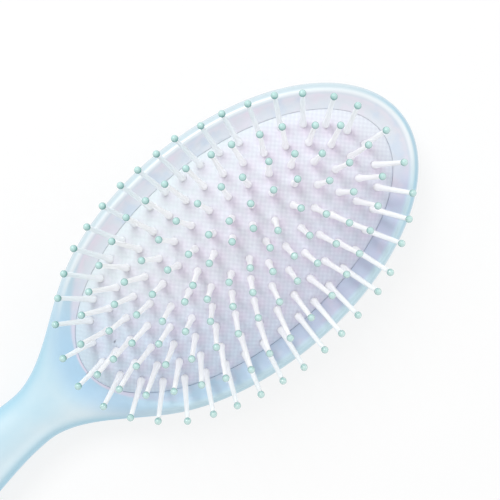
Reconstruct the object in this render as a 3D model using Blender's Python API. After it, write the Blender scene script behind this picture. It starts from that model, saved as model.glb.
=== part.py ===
"""Oval air-cushion hair brush, lying on its back with the pins up.

Metres. The origin is the middle of the flat land under the head. +X runs along the brush
to the far end of the head, so the handle points to -X. +Z is up, the way the pins point.
"""

import math

import bmesh
import bpy
import numpy as np
from mathutils import Matrix, Vector

# Cushion, seen from above it is an oval that meets the rim of the head at a seam
PAD_HALF_LENGTH = 0.0515
PAD_HALF_WIDTH = 0.0264
PAD_THICKNESS = 0.0015
CROWN_HEIGHT = 0.0063
CROWN_FULLNESS = 3.3
VENT_X = -0.0392
VENT_Y = 0.0022
VENT_RADIUS = 0.0004

# Head, measured outwards from the seam and upwards from the table
RIM_DISH_WIDTH = 0.0048
RIM_ROUND = 0.0026
SEAM_HEIGHT = 0.0125
RIM_RISE = 0.0020
DISH_HOLLOW = 0.0003
HEAD_WIDEST_HEIGHT = 0.0095
BACK_FLAT_DEPTH = 0.0006

# Recess behind the cushion
LIP_THICKNESS = 0.0013
GROOVE_DEPTH = 0.0018
GROOVE_HEIGHT = 0.0024
LEDGE_WIDTH = 0.0010
CHAMBER_FLOOR_HEIGHT = 0.0032
CHAMBER_CORNER = 0.0012

# Neck and handle, measured back from the middle of the head
NECK_JOIN_DISTANCE = 0.0400
NECK_DISTANCE = 0.0740
NECK_HALF_WIDTH = 0.0079
NECK_TOP_HEIGHT = 0.0138
NECK_UNDERSIDE_HEIGHT = 0.0016
GRIP_DISTANCE = 0.1200
GRIP_HALF_WIDTH = 0.0135
GRIP_TOP_HEIGHT = 0.0160
GRIP_FLAT_DEPTH = 0.0002
HANDLE_END_DISTANCE = 0.1780
HANDLE_END_HALF_WIDTH = 0.0115
HANDLE_END_TOP_HEIGHT = 0.0135
HANDLE_END_UNDERSIDE_HEIGHT = 0.0016
HANDLE_END_ROUND = 0.0170
BACK_FULLNESS = 2.3
HEAD_ROUND_FADE = 0.0180

# Pins
PIN_LENGTH = 0.0186
PIN_ROOT_RADIUS = 0.00105
PIN_ROOT_HEIGHT = 0.0013
PIN_TAPER_HEIGHT = 0.0048
PIN_SHAFT_RADIUS = 0.00064
PIN_NECK_RADIUS = 0.00052
PIN_BALL_RADIUS = 0.00096
BALL_NECK_SHARE = 0.85
BALL_TOP_SHARE = 0.60
BALL_TOP_RADIUS_SHARE = 0.72
PIN_SIDES = 5
PIN_HOLE_CLEARANCE = 0.00038

# Backing strips that trap the heads of the pins behind the cushion
STRIP_WIDTH = 0.0032
STRIP_THICKNESS = 0.0012
STRIP_END_GAP = 0.0006
PIN_SEAT_DEPTH_SHARE = 0.6

# Rings of pins, from the rim inwards. Each ring is an oval with its pins evenly spaced
RING_NAMES = ("outer_ring", "second_ring", "third_ring", "fourth_ring", "middle_ring")
RING_PIN_COUNTS = (38, 32, 26, 20, 10)
RING_STRIP_COUNTS = (8, 8, 6, 4, 2)
RING_LENGTH_SHARES = (0.880, 0.783, 0.683, 0.565, 0.286)
RING_WIDTH_SHARES = (0.895, 0.702, 0.487, 0.294, 0.135)
LONE_PIN_SHARE = 0.406

# Fits
SEAT_GAP = 0.0003
STRIP_GAP = 0.0004
CUT_OVERRUN = 0.0100
MERGE_DISTANCE = 0.000001

# Facets
OUTLINE_STEPS = 52
OUTLINE_TURN_WEIGHT = 0.012
OVAL_SIDES = 44
CURVE_SAMPLES = 721
VENT_SIDES = 5
TOP_ROUND_STEPS = 3
BACK_STEPS = 5
CREASE_DEGREES = 35

HEAD_HALF_LENGTH = PAD_HALF_LENGTH + RIM_DISH_WIDTH + RIM_ROUND
HEAD_HALF_WIDTH = PAD_HALF_WIDTH + RIM_DISH_WIDTH + RIM_ROUND
CREST_HEIGHT = SEAM_HEIGHT + RIM_RISE
LIP_UNDERSIDE = SEAM_HEIGHT - LIP_THICKNESS
LEDGE_HEIGHT = LIP_UNDERSIDE - GROOVE_HEIGHT
STRIP_DEPTH = PAD_THICKNESS + STRIP_GAP
PIN_SEAT_DEPTH = STRIP_DEPTH + STRIP_THICKNESS * PIN_SEAT_DEPTH_SHARE
PIN_HOLE_RADIUS = PIN_ROOT_RADIUS + PIN_HOLE_CLEARANCE

BODY_COLOUR = (0.62, 0.86, 0.93, 1.0)
PAD_COLOUR = (0.88, 0.85, 0.93, 1.0)
PIN_COLOUR = (0.93, 0.94, 0.96, 1.0)


def clear_scene():
    for thing in list(bpy.data.objects):
        bpy.data.objects.remove(thing, do_unlink=True)


def new_collection(name):
    group = bpy.data.collections.new(name)
    bpy.context.scene.collection.children.link(group)
    return group


def new_material(name, colour, roughness):
    material = bpy.data.materials.new(name)
    material.use_nodes = True
    shader = material.node_tree.nodes["Principled BSDF"]
    shader.inputs["Base Color"].default_value = colour
    shader.inputs["Roughness"].default_value = roughness
    shader.inputs["Metallic"].default_value = 0.0
    return material


def object_from(bm, name, group, material=None):
    """Turn an edit mesh into a named object with its faces pointing out."""
    bmesh.ops.recalc_face_normals(bm, faces=bm.faces)
    mesh = bpy.data.meshes.new(name)
    bm.to_mesh(mesh)
    bm.free()
    thing = bpy.data.objects.new(name, mesh)
    group.objects.link(thing)
    if material is None:
        thing.hide_render = True
        thing.display_type = "WIRE"
    else:
        mesh.materials.append(material)
        mesh.shade_smooth()
        mesh.set_sharp_from_angle(angle=math.radians(CREASE_DEGREES))
    return thing


def add_boolean(thing, operation, tool):
    modifier = thing.modifiers.new(f"{operation.lower()}_{tool.name}", "BOOLEAN")
    modifier.operation = operation
    modifier.object = tool
    modifier.solver = "EXACT"


def ease(start, end, share):
    """Go from start to end with no slope at either end."""
    share = min(max(share, 0.0), 1.0)
    return start + (end - start) * share * share * (3 - 2 * share)


def along_brush(x, end, grip, neck, head):
    """A size that changes smoothly from the handle's end to the grip, the neck and the head."""
    if x < -GRIP_DISTANCE:
        return ease(end, grip, (x + HANDLE_END_DISTANCE) / (HANDLE_END_DISTANCE - GRIP_DISTANCE))
    if x < -NECK_DISTANCE:
        return ease(grip, neck, (x + GRIP_DISTANCE) / (GRIP_DISTANCE - NECK_DISTANCE))
    return ease(neck, head, (x + NECK_DISTANCE) / (NECK_DISTANCE - NECK_JOIN_DISTANCE + HEAD_ROUND_FADE))


def head_half_width(x):
    return HEAD_HALF_WIDTH * math.sqrt(max(0.0, 1 - (x / HEAD_HALF_LENGTH) ** 2))


def neck_half_width(x):
    """A curve that leaves the oval of the head along its own slope and ends straight at the neck."""
    reach = NECK_DISTANCE - NECK_JOIN_DISTANCE
    t = (x + NECK_DISTANCE) / reach
    join = head_half_width(-NECK_JOIN_DISTANCE)
    slope = (HEAD_HALF_WIDTH / HEAD_HALF_LENGTH) ** 2 * NECK_JOIN_DISTANCE / join
    rise = t * t * (3 - 2 * t)
    return NECK_HALF_WIDTH * (1 - rise) + join * rise + slope * reach * (t ** 3 - t ** 2)


def half_width(x):
    """Half the width of the brush seen from above, at a distance along it."""
    if x > -NECK_JOIN_DISTANCE:
        return head_half_width(x)
    if x > -NECK_DISTANCE:
        return neck_half_width(x)
    width = along_brush(x, HANDLE_END_HALF_WIDTH, GRIP_HALF_WIDTH, NECK_HALF_WIDTH, NECK_HALF_WIDTH)
    past_round = max(0.0, HANDLE_END_ROUND - HANDLE_END_DISTANCE - x)
    return width * math.sqrt(max(0.0, 1 - (past_round / HANDLE_END_ROUND) ** 2))


def even_points(curve, count, turn_weight=0.0):
    """Evenly spaced places along a finely sampled curve, both ends included, as sample numbers.

    The turn weight is a length that each radian of bend counts for, so bends get more points.
    """
    steps = np.hypot(np.diff(curve[:, 0]), np.diff(curve[:, 1]))
    headings = np.unwrap(np.arctan2(np.diff(curve[:, 1]), np.diff(curve[:, 0])))
    turns = np.abs(np.diff(headings, prepend=headings[0]))
    travelled = np.concatenate([[0.0], np.cumsum(steps + turn_weight * turns)])
    wanted = np.linspace(0.0, travelled[-1], count)
    return np.interp(wanted, travelled, np.arange(len(curve)))


def read_curve(curve, place):
    return np.array([np.interp(place, np.arange(len(curve)), curve[:, axis]) for axis in (0, 1)])


def brush_outline():
    """Points round the +Y half of the outline, each with its foot on the middle line.

    The foot is where the line square to the outline meets the middle of the brush.
    """
    middle = (HEAD_HALF_LENGTH - HANDLE_END_DISTANCE) / 2
    reach = (HEAD_HALF_LENGTH + HANDLE_END_DISTANCE) / 2
    angles = np.linspace(0.0, math.pi, CURVE_SAMPLES)
    curve = np.array([(middle + reach * math.cos(a), half_width(middle + reach * math.cos(a))) for a in angles])
    slope = np.gradient(curve, axis=0)
    feet = curve[:, 0] + curve[:, 1] * slope[:, 1] / slope[:, 0]
    feet = np.maximum.accumulate(feet[::-1])[::-1]
    places = even_points(curve, OUTLINE_STEPS + 1, OUTLINE_TURN_WEIGHT)[1:-1]
    points = [read_curve(curve, place) for place in places]
    lines = [(point, np.interp(place, np.arange(len(curve)), feet)) for point, place in zip(points, places)]
    far_end = (np.array([curve[0, 0], 0.0]), feet[1])
    handle_end = (np.array([curve[-1, 0], 0.0]), feet[-2])
    return far_end, lines, handle_end


def body_levels(foot):
    """Heights of the section that ends at this foot: its top, its underside and its widest line."""
    top = along_brush(foot, HANDLE_END_TOP_HEIGHT, GRIP_TOP_HEIGHT, NECK_TOP_HEIGHT, CREST_HEIGHT)
    back = along_brush(
        foot, HANDLE_END_UNDERSIDE_HEIGHT, -GRIP_FLAT_DEPTH, NECK_UNDERSIDE_HEIGHT, -BACK_FLAT_DEPTH
    )
    neck_widest = (NECK_TOP_HEIGHT + NECK_UNDERSIDE_HEIGHT) / 2
    grip_widest = GRIP_TOP_HEIGHT / 2
    end_widest = (HANDLE_END_TOP_HEIGHT + HANDLE_END_UNDERSIDE_HEIGHT) / 2
    widest = along_brush(foot, end_widest, grip_widest, neck_widest, HEAD_WIDEST_HEIGHT)
    return top, back, widest


def top_round(foot, run):
    """Width of the rounding from the widest line up to the top face: all of a handle, the edge of a head."""
    return along_brush(foot, run, run, run, min(RIM_ROUND, run))


def meridian(point, foot):
    """The section from the middle of the top, out to the outline and back in to the middle of the underside."""
    run = math.hypot(point[0] - foot, point[1])
    top, back, widest = body_levels(foot)
    rounding = top_round(foot, run)
    path = [(1.0, top)]
    for step in range(TOP_ROUND_STEPS, 0, -1):
        angle = math.pi / 2 * step / TOP_ROUND_STEPS
        share = rounding / run * (1 - math.cos(angle))
        path.append((share, widest + (top - widest) * math.sin(angle)))
    for step in range(BACK_STEPS):
        angle = math.pi / 2 * step / BACK_STEPS
        share = 1 - math.cos(angle) ** (2 / BACK_FULLNESS)
        path.append((share, widest - (widest - back) * math.sin(angle) ** (2 / BACK_FULLNESS)))
    path.append((1.0, back))
    return [(point[0] + (foot - point[0]) * s, point[1] * (1 - s), z) for s, z in path]


def build_body(parts, cutters, material):
    """The one-piece moulding: sections stand square to the outline all the way round it."""
    far_end, lines, handle_end = brush_outline()
    near = [meridian(point, foot) for point, foot in lines]
    far = [[(x, -y, z) for x, y, z in section] for section in near]
    sections = [meridian(*far_end)] + near + [meridian(*handle_end)] + far[::-1]
    bm = bmesh.new()
    rows = [[bm.verts.new(place) for place in section] for section in sections]
    for row, after in zip(rows, rows[1:] + rows[:1]):
        for a, b, c, d in zip(row, row[1:], after[1:], after):
            bm.faces.new((a, b, c, d))
    bmesh.ops.remove_doubles(bm, verts=bm.verts, dist=MERGE_DISTANCE)
    bmesh.ops.dissolve_degenerate(bm, edges=bm.edges, dist=MERGE_DISTANCE)
    body = object_from(bm, "brush_body", parts, material)
    add_boolean(body, "DIFFERENCE", build_table_cutter(cutters))
    add_boolean(body, "DIFFERENCE", build_recess_cutter(cutters))
    return body


def build_table_cutter(cutters):
    """Everything below the table, which leaves a flat land on the back of the head and of the grip."""
    length = HEAD_HALF_LENGTH + HANDLE_END_DISTANCE + 2 * CUT_OVERRUN
    width = 2 * HEAD_HALF_WIDTH + 2 * CUT_OVERRUN
    bm = bmesh.new()
    bmesh.ops.create_cube(bm, size=1.0)
    bmesh.ops.scale(bm, vec=(length, width, CUT_OVERRUN), verts=bm.verts)
    middle = (HEAD_HALF_LENGTH - HANDLE_END_DISTANCE) / 2
    bmesh.ops.translate(bm, vec=(middle, 0, -CUT_OVERRUN / 2), verts=bm.verts)
    return object_from(bm, "table_cutter", cutters)


def oval_wall(bm, levels):
    """A wall through ovals that follow the seam, each at its own offset and height.

    One loop of edges is drawn, then extruded and resized from level to level. The loops are returned.
    """
    verts = bmesh.ops.create_circle(bm, segments=OVAL_SIDES, radius=1.0)["verts"]
    edges = list(bm.edges)
    length, width = 1.0, 1.0
    rims = []
    for offset, height in levels:
        if rims:
            made = bmesh.ops.extrude_edge_only(bm, edges=edges)["geom"]
            verts = [item for item in made if isinstance(item, bmesh.types.BMVert)]
            fresh = set(verts)
            edges = [item for item in made if isinstance(item, bmesh.types.BMEdge) and fresh.issuperset(item.verts)]
        next_length = PAD_HALF_LENGTH + offset
        next_width = PAD_HALF_WIDTH + offset
        for vert in verts:
            vert.co = (vert.co.x / length * next_length, vert.co.y / width * next_width, height)
        length, width = next_length, next_width
        rims.append((verts, edges))
    return rims


def build_recess_cutter(cutters):
    """Dished rim, lip, undercut groove, ledge and air chamber, cut in one go."""
    dish_middle = SEAM_HEIGHT + RIM_RISE / 2 - DISH_HOLLOW
    levels = (
        (-LEDGE_WIDTH - CHAMBER_CORNER, CHAMBER_FLOOR_HEIGHT),
        (-LEDGE_WIDTH, CHAMBER_FLOOR_HEIGHT + CHAMBER_CORNER),
        (-LEDGE_WIDTH, LEDGE_HEIGHT),
        (GROOVE_DEPTH, LEDGE_HEIGHT),
        (GROOVE_DEPTH, LIP_UNDERSIDE),
        (0.0, LIP_UNDERSIDE),
        (0.0, SEAM_HEIGHT),
        (RIM_DISH_WIDTH / 2, dish_middle),
        (RIM_DISH_WIDTH, CREST_HEIGHT),
        (RIM_DISH_WIDTH, CREST_HEIGHT + CUT_OVERRUN),
    )
    bm = bmesh.new()
    rims = oval_wall(bm, levels)
    for _, edges in (rims[0], rims[-1]):
        bmesh.ops.edgenet_fill(bm, edges=edges)
    return object_from(bm, "recess_cutter", cutters)


def crown_height(x, y):
    """Height of the cushion's face: flat in the middle and falling away towards the seam."""
    reach = math.hypot(x / PAD_HALF_LENGTH, y / PAD_HALF_WIDTH)
    return SEAM_HEIGHT + CROWN_HEIGHT * (1 - min(reach, 1.0) ** CROWN_FULLNESS)


def crown_frame(x, y):
    """Placement of a pin: its foot on the cushion's face and its axis square to that face."""
    reach = math.hypot(x / PAD_HALF_LENGTH, y / PAD_HALF_WIDTH)
    fall = CROWN_HEIGHT * CROWN_FULLNESS * reach ** (CROWN_FULLNESS - 2)
    normal = Vector((fall * x / PAD_HALF_LENGTH ** 2, fall * y / PAD_HALF_WIDTH ** 2, 1)).normalized()
    across = normal.cross(Vector((1, 0, 0))).normalized()
    ahead = across.cross(normal)
    turn = Matrix((ahead, across, normal)).transposed().to_4x4()
    return Matrix.Translation((x, y, crown_height(x, y))) @ turn


def ring_curve(ring):
    """A ring of pins seen from above, sampled from its handle end round by +Y."""
    length = PAD_HALF_LENGTH * RING_LENGTH_SHARES[ring]
    width = PAD_HALF_WIDTH * RING_WIDTH_SHARES[ring]
    angles = np.linspace(0.0, 2 * math.pi, 2 * CURVE_SAMPLES)
    return np.stack([-length * np.cos(angles), width * np.sin(angles)], axis=1)


def ring_strips(ring):
    """The pins of a ring in order, shared out among its strips.

    Each strip is given as the places of its pins, and then the places of its two bare ends.
    """
    count = RING_PIN_COUNTS[ring]
    strips = RING_STRIP_COUNTS[ring]
    curve = ring_curve(ring)
    lap = np.concatenate([curve[:-1], curve])
    spaces = even_points(curve, count + 1)[:-1]
    spaces = np.concatenate([spaces, spaces + len(curve) - 1])
    first = [math.floor(count * k / strips - count / strips / 2 + 0.5) for k in range(strips + 1)]
    shared = []
    for start, stop in zip(first, first[1:]):
        pins = [read_curve(lap, spaces[(k + count) % (2 * count)]) for k in range(start, stop)]
        before = read_curve(lap, spaces[(start - 1 + count) % (2 * count)])
        after = read_curve(lap, spaces[(stop + count) % (2 * count)])
        shared.append((pins, end_of_strip(before, pins[0]), end_of_strip(after, pins[-1])))
    return shared


def end_of_strip(neighbour, pin):
    """Half way to the neighbouring strip's pin, less half the gap between the two strips."""
    step = neighbour - pin
    return pin + step * (0.5 - STRIP_END_GAP / 2 / np.hypot(*step))


def new_sheet():
    """An edit mesh whose points can be numbered, so that thicken can pair them."""
    bm = bmesh.new()
    bm.verts.layers.int.new("number")
    return bm


def thicken(bm):
    """Give a sheet a second face joined to it at every edge, and pair each point with its copy."""
    sheet = list(bm.verts)
    number = bm.verts.layers.int["number"]
    for k, vert in enumerate(sheet):
        vert[number] = k
    solid = bmesh.ops.extrude_face_region(bm, geom=bm.faces[:], use_keep_orig=True)
    copies = [item for item in solid["geom"] if isinstance(item, bmesh.types.BMVert)]
    return {sheet[copy[number]]: copy for copy in copies}


def strip_section(x, y, direction):
    """Two ends of a line across a strip, on its face below the cushion."""
    frame = crown_frame(x, y)
    normal = pin_axis(frame)
    across = normal.cross(Vector((direction[0], direction[1], 0))).normalized()
    middle = frame.translation - normal * STRIP_DEPTH
    return [middle + across * side * STRIP_WIDTH / 2 for side in (-1, 1)], normal


def build_strip(name, places, parts, material):
    """A bent strip of backing under a run of pins."""
    ends = [places[1] - places[0], places[-1] - places[-2]]
    between = [after - before for before, after in zip(places, places[2:])]
    directions = [ends[0]] + between + [ends[1]]
    bm = new_sheet()
    made = bmesh.ops.create_grid(bm, x_segments=len(places) - 1, y_segments=1, size=1.0)
    verts = sorted(made["verts"], key=lambda vert: (vert.co.x, vert.co.y))
    depths = {}
    for k, (place, direction) in enumerate(zip(places, directions)):
        (low, high), normal = strip_section(*place, direction)
        verts[2 * k].co = low
        verts[2 * k + 1].co = high
        depths[verts[2 * k]] = normal * STRIP_THICKNESS
        depths[verts[2 * k + 1]] = normal * STRIP_THICKNESS
    for vert, below in thicken(bm).items():
        below.co = vert.co - depths[vert]
    return object_from(bm, name, parts, material)


def pin_profile():
    """Half section of a pin: root behind the cushion, taper, shaft and ball."""
    ball_middle = PIN_LENGTH - PIN_BALL_RADIUS
    return (
        (0.0, -PIN_SEAT_DEPTH),
        (PIN_ROOT_RADIUS, -PIN_SEAT_DEPTH),
        (PIN_ROOT_RADIUS, PIN_ROOT_HEIGHT),
        (PIN_SHAFT_RADIUS, PIN_TAPER_HEIGHT),
        (PIN_NECK_RADIUS, ball_middle - PIN_BALL_RADIUS * BALL_NECK_SHARE),
        (PIN_BALL_RADIUS, ball_middle),
        (PIN_BALL_RADIUS * BALL_TOP_RADIUS_SHARE, ball_middle + PIN_BALL_RADIUS * BALL_TOP_SHARE),
        (0.0, PIN_LENGTH),
    )


def build_pin_group(name, pins, cutters):
    """The pins of one strip, each turned from the profile and set square to the cushion."""
    bm = bmesh.new()
    for x, y in pins:
        verts = [bm.verts.new((radius, 0, height)) for radius, height in pin_profile()]
        edges = [bm.edges.new(pair) for pair in zip(verts, verts[1:])]
        bmesh.ops.spin(
            bm, geom=verts + edges, cent=(0, 0, 0), axis=(0, 0, 1), angle=2 * math.pi,
            steps=PIN_SIDES, use_merge=True,
        )
        bm.verts.ensure_lookup_table()
        turned = [vert for vert in bm.verts if not vert.tag]
        bmesh.ops.transform(bm, matrix=crown_frame(x, y), verts=turned)
        for vert in bm.verts:
            vert.tag = True
    bmesh.ops.remove_doubles(bm, verts=bm.verts, dist=MERGE_DISTANCE)
    return object_from(bm, name, cutters)


def build_pins(parts, cutters, material):
    """Every strip of pins, ring by ring, and the two pins that stand alone on the long axis."""
    groups = []
    for ring, ring_name in enumerate(RING_NAMES):
        for number, (pins, start, stop) in enumerate(ring_strips(ring), start=1):
            groups.append((f"{ring_name}_pins_{number}", pins, [start] + pins + [stop]))
    for side, ring_name in ((-1, "lone_pin_near_handle"), (1, "lone_pin_near_end")):
        middle = np.array([side * LONE_PIN_SHARE * PAD_HALF_LENGTH, 0.0])
        half = np.array([STRIP_WIDTH / 2, 0.0])
        groups.append((ring_name, [middle], [middle - half, middle + half]))
    for name, pins, places in groups:
        strip = build_strip(name, places, parts, material)
        add_boolean(strip, "UNION", build_pin_group(f"{name}_shapes", pins, cutters))
    return [pin for _, pins, _ in groups for pin in pins]


def pin_axis(frame):
    return frame.to_3x3() @ Vector((0, 0, 1))


def hole_loop(bm, frame, radius, sides):
    """A hole square to the cushion's face, seen from above."""
    verts = []
    for step in range(sides):
        angle = 2 * math.pi * step / sides
        place = frame @ Vector((radius * math.cos(angle), radius * math.sin(angle), 0))
        verts.append(bm.verts.new((place.x, place.y, 0)))
    return verts


def build_pad(parts, material, pins):
    """The domed membrane: a flat plan full of holes, thickened and raised to the crown.

    Its flange lies in the groove of the head, and its riser stands clear of the lip.
    """
    bm = new_sheet()
    rims = oval_wall(bm, [(offset, 0.0) for offset in (GROOVE_DEPTH - SEAT_GAP, -SEAT_GAP, -2 * SEAT_GAP)])
    flange = set(rims[0][0] + rims[1][0])
    axes = {vert: pin_axis(crown_frame(vert.co.x, vert.co.y)) for vert in rims[2][0]}
    holes = [(crown_frame(x, y), PIN_HOLE_RADIUS, PIN_SIDES) for x, y in pins]
    holes.append((crown_frame(VENT_X, VENT_Y), VENT_RADIUS, VENT_SIDES))
    edges = list(rims[2][1])
    for frame, radius, sides in holes:
        verts = hole_loop(bm, frame, radius, sides)
        edges += [bm.edges.new(pair) for pair in zip(verts, verts[1:] + verts[:1])]
        axes.update({vert: pin_axis(frame) for vert in verts})
    filled = bmesh.ops.triangle_fill(bm, edges=edges, use_beauty=True)["geom"]
    faces = [item for item in filled if isinstance(item, bmesh.types.BMFace)]
    inner = [item for item in filled if isinstance(item, bmesh.types.BMEdge)]
    bmesh.ops.beautify_fill(bm, faces=faces, edges=inner, method="ANGLE")
    for vert, below in thicken(bm).items():
        if vert in flange:
            vert.co.z = LIP_UNDERSIDE - SEAT_GAP
            below.co.z = LEDGE_HEIGHT + SEAT_GAP
        else:
            vert.co.z = crown_height(vert.co.x, vert.co.y)
            below.co = vert.co - axes[vert] * PAD_THICKNESS
    return object_from(bm, "cushion_pad", parts, material)


def main():
    clear_scene()
    parts = new_collection("hair_brush")
    cutters = new_collection("hair_brush_cutters")
    body_material = new_material("pearl_plastic", BODY_COLOUR, 0.18)
    pad_material = new_material("cushion_rubber", PAD_COLOUR, 0.55)
    pin_material = new_material("pin_nylon", PIN_COLOUR, 0.35)
    build_body(parts, cutters, body_material)
    pins = build_pins(parts, cutters, pin_material)
    build_pad(parts, pad_material, pins)


main()
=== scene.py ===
# %% [markdown]
# # An oval cushion brush
#
# The brush lies on its back on a pale floor, with its pins up. Its shape was designed as solids
# first, and those solids are loaded here as a frame. Each step below dresses one part of the frame:
# the glossy pearly body, the domed cushion with its woven face, and the milky pins with their mint
# tips. Everything is in metres, +X runs along the brush to the far end of its head, and +Z is up.

# %% The frame
import math

import bmesh
import bpy
import numpy as np
from mathutils import Matrix, Vector


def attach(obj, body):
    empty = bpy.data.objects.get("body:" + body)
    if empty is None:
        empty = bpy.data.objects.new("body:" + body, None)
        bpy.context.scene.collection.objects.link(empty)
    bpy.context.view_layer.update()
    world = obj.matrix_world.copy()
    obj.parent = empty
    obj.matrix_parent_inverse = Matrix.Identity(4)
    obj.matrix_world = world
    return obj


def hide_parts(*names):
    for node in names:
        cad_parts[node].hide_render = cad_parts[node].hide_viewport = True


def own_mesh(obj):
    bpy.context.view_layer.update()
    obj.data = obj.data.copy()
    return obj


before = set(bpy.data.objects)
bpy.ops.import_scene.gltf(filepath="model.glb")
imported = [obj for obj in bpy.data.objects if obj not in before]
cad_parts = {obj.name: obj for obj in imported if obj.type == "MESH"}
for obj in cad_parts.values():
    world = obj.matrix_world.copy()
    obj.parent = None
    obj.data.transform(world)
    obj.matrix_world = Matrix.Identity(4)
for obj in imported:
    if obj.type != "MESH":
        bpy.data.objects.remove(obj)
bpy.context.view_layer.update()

# %% [markdown]
# ## Sizes
#
# The looks sit exactly on the solids, so they are drawn from the same sizes. Each step repeats
# those that it needs, because a scene reads nothing but the frame. The first are those of the head.
# Seen from above it is an oval: the cushion up to its seam, then the dish, then the rounded rim.

# %% Sizes of the head
MILLIMETRES = 1000

PAD_HALF_LENGTH = 0.0515
PAD_HALF_WIDTH = 0.0264
SEAM_HEIGHT = 0.0125
RIM_DISH_WIDTH = 0.0048
RIM_ROUND = 0.0026
HEAD_HALF_LENGTH = PAD_HALF_LENGTH + RIM_DISH_WIDTH + RIM_ROUND
HEAD_HALF_WIDTH = PAD_HALF_WIDTH + RIM_DISH_WIDTH + RIM_ROUND
print("the head is", round(2 * HEAD_HALF_WIDTH * MILLIMETRES, 1), "mm wide")

# %% [markdown]
# ## The camera
#
# The photograph looks almost straight down on the cushion, from about a quarter of a metre, with
# the brush turned about 40 degrees in the picture. A camera's place is easiest to give backwards:
# where the middle of the cushion lies for the camera, and how the brush is turned in front of it.
# The camera's own matrix is then the inverse of that.

# %% Camera
PICTURE_WIDTH = 500
FOCAL_PIXELS = 900
SENSOR_WIDTH = 36.0
BRUSH_TURN_DEGREES = 39.7
BRUSH_LEAN_DEGREES = 5.5
BRUSH_ROLL_DEGREES = -0.5
BRUSH_PLACE = Vector((-0.00473, -0.000896, -0.24324))

seam_middle = Vector((0, 0, SEAM_HEIGHT))
turn = Matrix.Rotation(math.radians(BRUSH_TURN_DEGREES), 4, "Z")
lean = Matrix.Rotation(math.radians(BRUSH_LEAN_DEGREES), 4, "X")
roll = Matrix.Rotation(math.radians(BRUSH_ROLL_DEGREES), 4, "Y")
from_seam = Matrix.Translation(-seam_middle)
brush_for_camera = Matrix.Translation(BRUSH_PLACE) @ roll @ lean @ turn @ from_seam

lens = bpy.data.cameras.new("camera")
lens.sensor_width = SENSOR_WIDTH
lens.lens = SENSOR_WIDTH * FOCAL_PIXELS / PICTURE_WIDTH
lens.clip_start = 0.01
camera = bpy.data.objects.new("camera", lens)
bpy.context.scene.collection.objects.link(camera)
camera.matrix_world = brush_for_camera.inverted()
bpy.context.scene.camera = camera
print("camera at", [round(c, 3) for c in camera.matrix_world.translation])

# %% [markdown]
# ## Shader sums
#
# A material is a network of nodes, and a formula such as `1 - mask * 0.3` takes three of them.
# Written out by hand that hides the idea, so a small class wraps one output socket and turns
# Python's own operators into Math nodes.

# %% A socket used like a number
class Wire:
    """One output socket of a graph, used like a number in a sum."""

    def __init__(self, graph, socket):
        self.graph = graph
        self.socket = socket

    def math(self, operation, *others):
        inputs = dict(enumerate((self,) + others))
        return self.graph.node("ShaderNodeMath", {"operation": operation}, inputs)

    def __add__(self, other):
        return self.math("ADD", other)

    def __mul__(self, other):
        return self.math("MULTIPLY", other)

    def __sub__(self, other):
        return self.math("SUBTRACT", other)

    def __rsub__(self, other):
        return self.math("MULTIPLY", -1.0) + other

    def __truediv__(self, other):
        return self.math("DIVIDE", other)

    def __pow__(self, other):
        return self.math("POWER", other)

    __radd__ = __add__
    __rmul__ = __mul__

    def step(self, start, end):
        """0 below start, 1 above end, and a smooth rise between them."""
        settings = {"interpolation_type": "SMOOTHSTEP", "clamp": True}
        return self.graph.node("ShaderNodeMapRange", settings, {0: self, 1: start, 2: end})


# %% [markdown]
# Any other kind of node is added by one method, which takes the node's settings and then what goes
# into its sockets. A material's tree and the world's tree are both graphs of this kind.

# %% A tree of nodes
class Graph:
    """A tree of nodes. One method adds any kind of node to it."""

    def __init__(self, tree):
        self.tree = tree

    def node(self, kind, settings=(), inputs=(), output=0):
        made = self.tree.nodes.new(kind)
        for key, value in dict(settings).items():
            setattr(made, key, value)
        for key, value in dict(inputs).items():
            self.feed(made.inputs[key], value)
        return Wire(self, made.outputs[output])

    def feed(self, socket, value):
        if isinstance(value, Wire):
            self.tree.links.new(value.socket, socket)
        else:
            socket.default_value = value


# %% [markdown]
# `Finish` is the graph of one material. Its colours are built up like paint, as a first coat with
# layers over it, and each layer covers by its own share.

# %% The finish of a piece
class Finish(Graph):
    """A material, its nodes and the Principled shader that they feed."""

    def __init__(self, name, **constants):
        self.material = bpy.data.materials.new(name)
        self.material.use_nodes = True
        super().__init__(self.material.node_tree)
        self.shader = self.tree.nodes["Principled BSDF"]
        for socket, value in constants.items():
            self.set(socket.replace("_", " "), value)

    def set(self, socket, value):
        if isinstance(value, tuple) and len(value) == 3 and "Radius" not in socket:
            value = (*value, 1.0)
        self.feed(self.shader.inputs[socket], value)

    def place(self, scale=1.0):
        """Object coordinates in metres, multiplied."""
        coordinates = self.node("ShaderNodeTexCoord", output="Object")
        return self.node("ShaderNodeMapping", {}, {"Vector": coordinates, "Scale": (scale,) * 3})

    def parts_of(self, vector):
        first = self.node("ShaderNodeSeparateXYZ", {}, {0: vector})
        return [Wire(self, socket) for socket in first.socket.node.outputs]

    def noise(self, vector, scale, detail=2.0):
        inputs = {"Vector": vector, "Scale": scale, "Detail": detail}
        return self.node("ShaderNodeTexNoise", {}, inputs)

    def attribute(self, name):
        return self.node("ShaderNodeAttribute", {"attribute_name": name}, output="Fac")

    def mix(self, share, first, second, blend="MIX"):
        """A colour that goes from first to second as share goes from 0 to 1."""
        inputs = {0: share}
        for key, colour in ((6, first), (7, second)):
            inputs[key] = colour if isinstance(colour, Wire) else (*colour, 1.0)
        return self.node("ShaderNodeMix", {"data_type": "RGBA", "blend_type": blend}, inputs, 2)

    def layered(self, colour, *layers):
        """A colour with others laid over it in turn, each given as its share and itself."""
        for share, over in layers:
            colour = self.mix(share, colour, over)
        return colour

    def bump(self, height, distance):
        inputs = {"Height": height, "Distance": distance}
        self.set("Normal", self.node("ShaderNodeBump", {}, inputs))


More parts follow.
